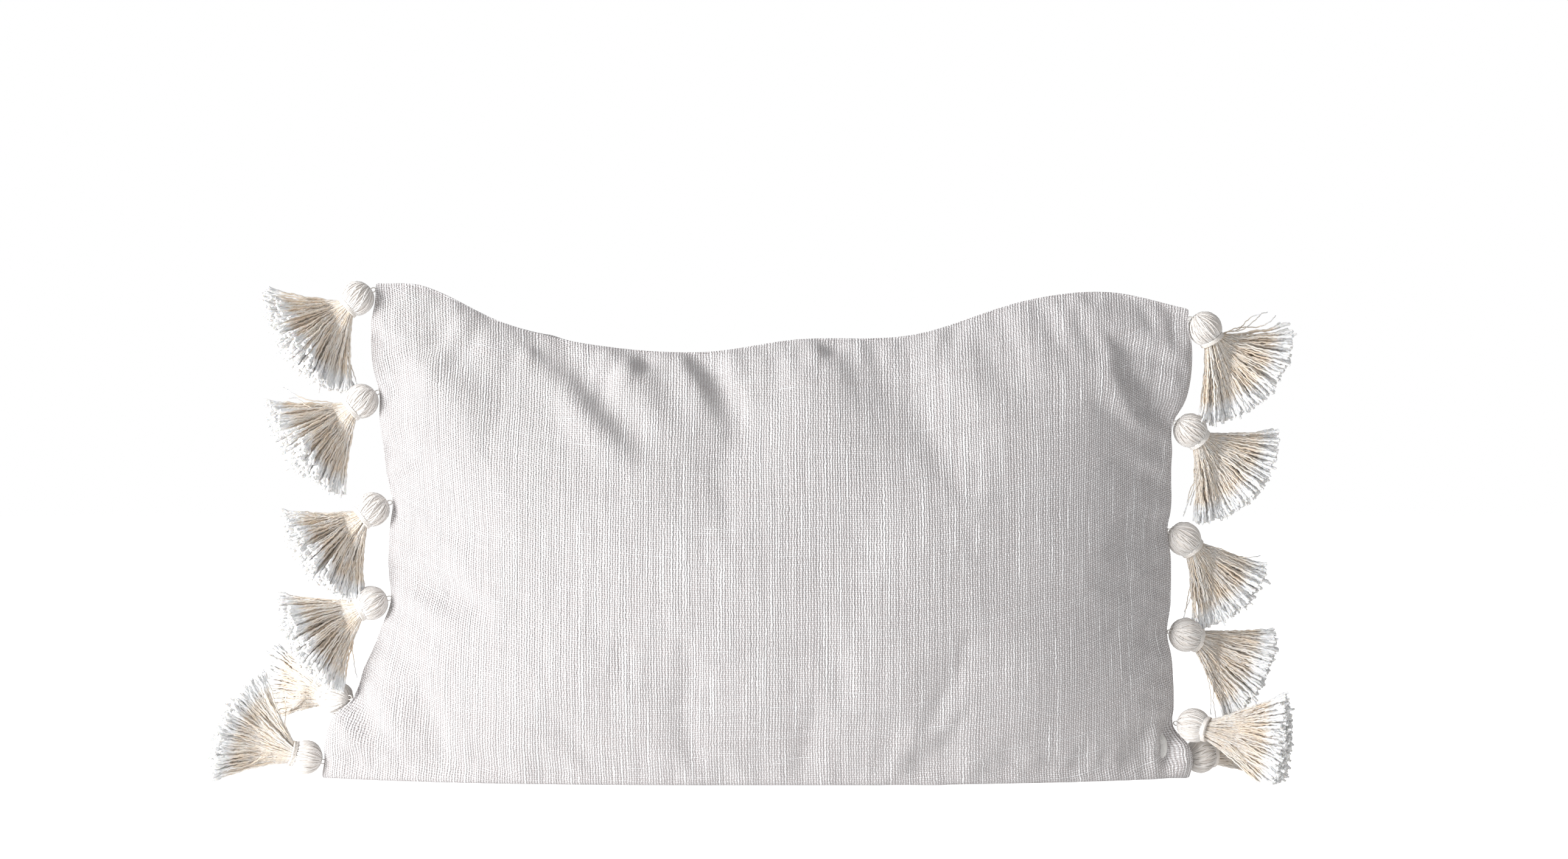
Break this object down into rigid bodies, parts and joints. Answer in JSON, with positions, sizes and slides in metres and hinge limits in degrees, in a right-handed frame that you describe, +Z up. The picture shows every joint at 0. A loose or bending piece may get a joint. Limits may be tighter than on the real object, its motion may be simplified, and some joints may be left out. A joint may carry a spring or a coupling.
{
  "type": "throw pillow",
  "caption": "Rectangular lumbar throw pillow in off-white slub cotton, with yarn tassels down both short sides, standing on its long edge.",
  "frame": {"origin": "on the floor, in the middle of the base that the pillow stands on", "axes": "+Z up, +X along the long side to the right of a viewer who faces the front, -Y out of the front face towards that viewer"},
  "size_m": [0.7667, 0.1367, 0.3479],
  "materials": {
    "slub_cotton": "off-white plain weave with upright slubs, matte",
    "ticking": "plain white insert cloth, matte",
    "fibre_filling": "loose hollow fibre, matte",
    "zip_tape": "woven tape, matte",
    "zip_nylon": "nylon coil, satin",
    "zip_metal": "nickel-coloured, satin",
    "cotton_yarn": "natural two-ply cotton yarn, matte",
    "binding_yarn": "natural cotton cord, matte"
  },
  "bodies": {
    "pillow": {"cover_front": "slub_cotton", "cover_back": "slub_cotton", "insert_front": "ticking", "insert_back": "ticking", "insert_filling": "fibre_filling", "zip_tape_front": "zip_tape", "zip_tape_back": "zip_tape", "zip_coil_front": "zip_nylon", "zip_coil_back": "zip_nylon", "zip_end_stop": "zip_metal"},
    "zip_slider": {"zip_slider": "zip_metal"},
    "zip_pull": {"zip_pull": "zip_metal"},
    "left_1": {"left_1_loop": "binding_yarn", "left_1_head": "cotton_yarn", "left_1_binding": "binding_yarn", "left_1_skirt": "cotton_yarn"},
    "left_2": {"left_2_loop": "binding_yarn", "left_2_head": "cotton_yarn", "left_2_binding": "binding_yarn", "left_2_skirt": "cotton_yarn"},
    "left_3": {"left_3_loop": "binding_yarn", "left_3_head": "cotton_yarn", "left_3_binding": "binding_yarn", "left_3_skirt": "cotton_yarn"},
    "left_4": {"left_4_loop": "binding_yarn", "left_4_head": "cotton_yarn", "left_4_binding": "binding_yarn", "left_4_skirt": "cotton_yarn"},
    "left_5": {"left_5_loop": "binding_yarn", "left_5_head": "cotton_yarn", "left_5_binding": "binding_yarn", "left_5_skirt": "cotton_yarn"},
    "left_6": {"left_6_loop": "binding_yarn", "left_6_head": "cotton_yarn", "left_6_binding": "binding_yarn", "left_6_skirt": "cotton_yarn"},
    "right_1": {"right_1_loop": "binding_yarn", "right_1_head": "cotton_yarn", "right_1_binding": "binding_yarn", "right_1_skirt": "cotton_yarn"},
    "right_2": {"right_2_loop": "binding_yarn", "right_2_head": "cotton_yarn", "right_2_binding": "binding_yarn", "right_2_skirt": "cotton_yarn"},
    "right_3": {"right_3_loop": "binding_yarn", "right_3_head": "cotton_yarn", "right_3_binding": "binding_yarn", "right_3_skirt": "cotton_yarn"},
    "right_4": {"right_4_loop": "binding_yarn", "right_4_head": "cotton_yarn", "right_4_binding": "binding_yarn", "right_4_skirt": "cotton_yarn"},
    "right_5": {"right_5_loop": "binding_yarn", "right_5_head": "cotton_yarn", "right_5_binding": "binding_yarn", "right_5_skirt": "cotton_yarn"},
    "right_6": {"right_6_loop": "binding_yarn", "right_6_head": "cotton_yarn", "right_6_binding": "binding_yarn", "right_6_skirt": "cotton_yarn"}
  },
  "joints": [
    {"name": "zip_slide", "type": "slide", "parent": "pillow", "child": "zip_slider", "axis": [-1, 0, 0], "range_m": [0, 0.35]},
    {"name": "zip_pull_swing", "type": "hinge", "parent": "zip_slider", "child": "zip_pull", "pos_m": [0.172, 0.015, 0.002], "axis": [0, -1, 0], "range_deg": [0, 150]},
    {"name": "left_1_swing", "type": "hinge", "parent": "pillow", "child": "left_1", "pos_m": [-0.26559, 0, 0.34283], "axis": [0, 0, 1], "range_deg": [-60, 50]},
    {"name": "left_2_swing", "type": "hinge", "parent": "pillow", "child": "left_2", "pos_m": [-0.26259, 0, 0.27124], "axis": [0, 0, 1], "range_deg": [-60, 50]},
    {"name": "left_3_swing", "type": "hinge", "parent": "pillow", "child": "left_3", "pos_m": [-0.25407, 0, 0.19427], "axis": [0, 0, 1], "range_deg": [-60, 50]},
    {"name": "left_4_swing", "type": "hinge", "parent": "pillow", "child": "left_4", "pos_m": [-0.25448, 0, 0.12731], "axis": [0, 0, 1], "range_deg": [-60, 50]},
    {"name": "left_5_swing", "type": "hinge", "parent": "pillow", "child": "left_5", "pos_m": [-0.28258, 0.00503, 0.05743], "axis": [0, 0, 1], "range_deg": [-20, 6]},
    {"name": "left_6_swing", "type": "hinge", "parent": "pillow", "child": "left_6", "pos_m": [-0.30278, 0.01388, 0.01137], "axis": [0, 0, 1], "range_deg": [-6, 45]},
    {"name": "right_1_swing", "type": "hinge", "parent": "pillow", "child": "right_1", "pos_m": [0.30353, 0, 0.32241], "axis": [0, 0, 1], "range_deg": [-60, 40]},
    {"name": "right_2_swing", "type": "hinge", "parent": "pillow", "child": "right_2", "pos_m": [0.29287, 0, 0.24972], "axis": [0, 0, 1], "range_deg": [-60, 40]},
    {"name": "right_3_swing", "type": "hinge", "parent": "pillow", "child": "right_3", "pos_m": [0.2888, 0, 0.17438], "axis": [0, 0, 1], "range_deg": [-60, 40]},
    {"name": "right_4_swing", "type": "hinge", "parent": "pillow", "child": "right_4", "pos_m": [0.28885, 0.00012, 0.10367], "axis": [0, 0, 1], "range_deg": [-60, 40]},
    {"name": "right_5_swing", "type": "hinge", "parent": "pillow", "child": "right_5", "pos_m": [0.29447, 0.00884, 0.03907], "axis": [0, 0, 1], "range_deg": [-45, 6]},
    {"name": "right_6_swing", "type": "hinge", "parent": "pillow", "child": "right_6", "pos_m": [0.30174, 0.01392, 0.01154], "axis": [0, 0, 1], "range_deg": [-6, 20]}
  ]
}
